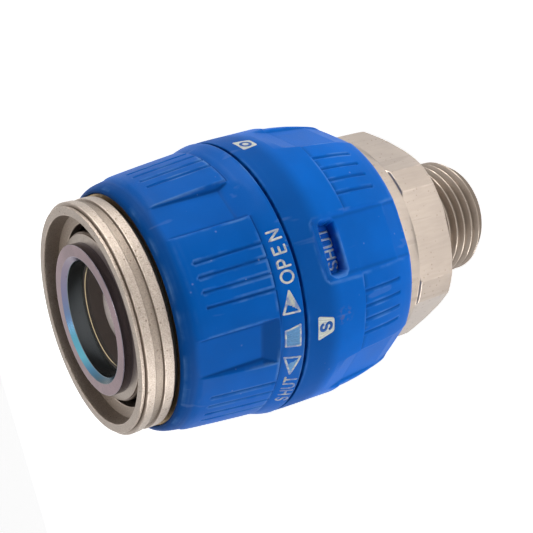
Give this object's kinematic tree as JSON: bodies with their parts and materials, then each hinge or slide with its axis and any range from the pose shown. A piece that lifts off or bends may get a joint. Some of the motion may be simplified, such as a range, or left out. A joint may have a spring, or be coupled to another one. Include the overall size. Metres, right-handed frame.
{
  "type": "liquid cooling quick coupling",
  "caption": "Full-flow quick coupling half with a ball valve, a two-part turning sleeve, a locking collar round its nose and a hexagon adapter with a male pipe thread.",
  "frame": {"origin": "centre of the thread's end face, on the flow axis, at the lowest point", "axes": "+Z along the flow axis from the thread to the nose, -Y towards the window in the rear sleeve"},
  "size_m": [0.0458, 0.0453, 0.0735],
  "materials": {
    "blue_polymer": "satin moulded nylon, worn at the edges",
    "navy_polymer": "satin moulded nylon",
    "nickel_plate": "turned brass with warm nickel plating",
    "tinted_steel": "turned stainless steel with a faint purple heat tint",
    "plain_steel": "ground stainless steel",
    "ball_plate": "polished plated brass",
    "bush_bronze": "turned bearing bronze",
    "seat_polymer": "turned seat polymer",
    "black_rubber": "matt rubber"
  },
  "bodies": {
    "housing": {"valve_body": "nickel_plate", "locking_collar": "nickel_plate", "nose_ring": "tinted_steel", "seat_retainer": "nickel_plate", "front_seat": "seat_polymer", "rear_seat": "seat_polymer", "seat_o_rings": "black_rubber", "seat_springs": "plain_steel", "socket_gasket": "black_rubber", "wiper_ring": "black_rubber", "rear_sleeve": "blue_polymer", "retaining_ring": "plain_steel", "anti_turn_keys": "plain_steel", "adapter": "nickel_plate", "tail_o_ring": "black_rubber"},
    "turning_sleeve": {"front_sleeve": "blue_polymer", "indicator_drum": "navy_polymer", "bearing_bush": "bush_bronze"},
    "rack_ring": {"rack_carriage": "nickel_plate", "cam_pins": "plain_steel"},
    "ball": {"valve_ball": "ball_plate", "pinion_stems": "plain_steel", "stem_o_rings": "black_rubber"}
  },
  "joints": [
    {"name": "sleeve_turn", "type": "hinge", "parent": "housing", "child": "turning_sleeve", "pos_m": [0, 0, 0.04925], "axis": [0, 0, 1], "range_deg": [0, 86]},
    {"name": "rack_slide", "type": "slide", "parent": "housing", "child": "rack_ring", "axis": [0, 0, 1], "range_m": [0, 0.00503]},
    {"name": "ball_turn", "type": "hinge", "parent": "housing", "child": "ball", "pos_m": [0, 0, 0.0576], "axis": [1, 0, 0], "range_deg": [0, 90]}
  ],
  "couplings": [
    {"joint": "rack_slide", "follows": "sleeve_turn", "m_per_rad": 0.0033488},
    {"joint": "ball_turn", "follows": "sleeve_turn", "ratio": 1.0465}
  ]
}
